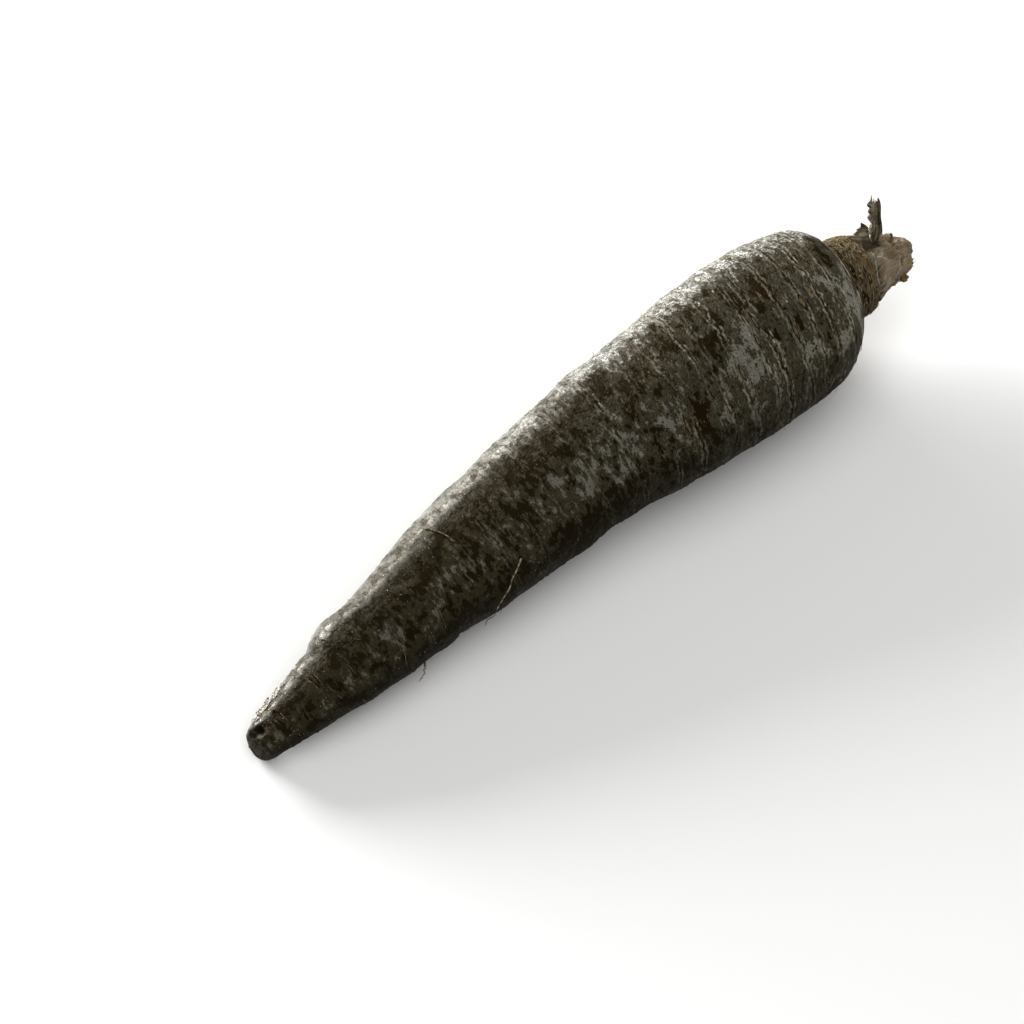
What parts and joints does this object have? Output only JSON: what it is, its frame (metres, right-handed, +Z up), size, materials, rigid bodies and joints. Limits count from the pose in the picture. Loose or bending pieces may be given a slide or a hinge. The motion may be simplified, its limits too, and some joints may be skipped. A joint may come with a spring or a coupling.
{
  "type": "purple carrot",
  "caption": "Whole dark purple carrot lying on its side: a tapering taproot with a short woody crown, dried leaf bases and a withered stalk; food or still-life prop.",
  "frame": {"origin": "centre of the bottom of the object's box, on the surface that it lies on", "axes": "+X from the root's tip to its crown, +Z up, +Y to the left seen from the tip"},
  "size_m": [0.2196, 0.0462, 0.0438],
  "materials": {
    "skin": "dark charcoal-purple root skin with ash-grey bloom, fine crosswise cracks and tan scars; satin where it is smooth",
    "crown_bark": "rough brown fibrous bark",
    "leaf_base": "dried tan-brown leaf stalk base with pale edges",
    "dry_leaf": "withered grey-brown leaf tissue, lengthwise ribs",
    "fibre": "dry pale-brown hair root"
  },
  "bodies": {
    "root": {"taproot": "skin", "crown": "crown_bark", "leaf_base_1": "leaf_base", "leaf_base_2": "leaf_base", "leaf_base_3": "leaf_base", "leaf_base_4": "leaf_base", "leaf_base_5": "leaf_base", "leaf_base_6": "leaf_base", "dry_leaf_stalk": "dry_leaf", "dry_leaf_sheath": "dry_leaf", "side_bud": "leaf_base", "rootlet_1": "fibre", "rootlet_2": "fibre", "rootlet_3": "fibre", "rootlet_4": "fibre"}
  },
  "joints": []
}
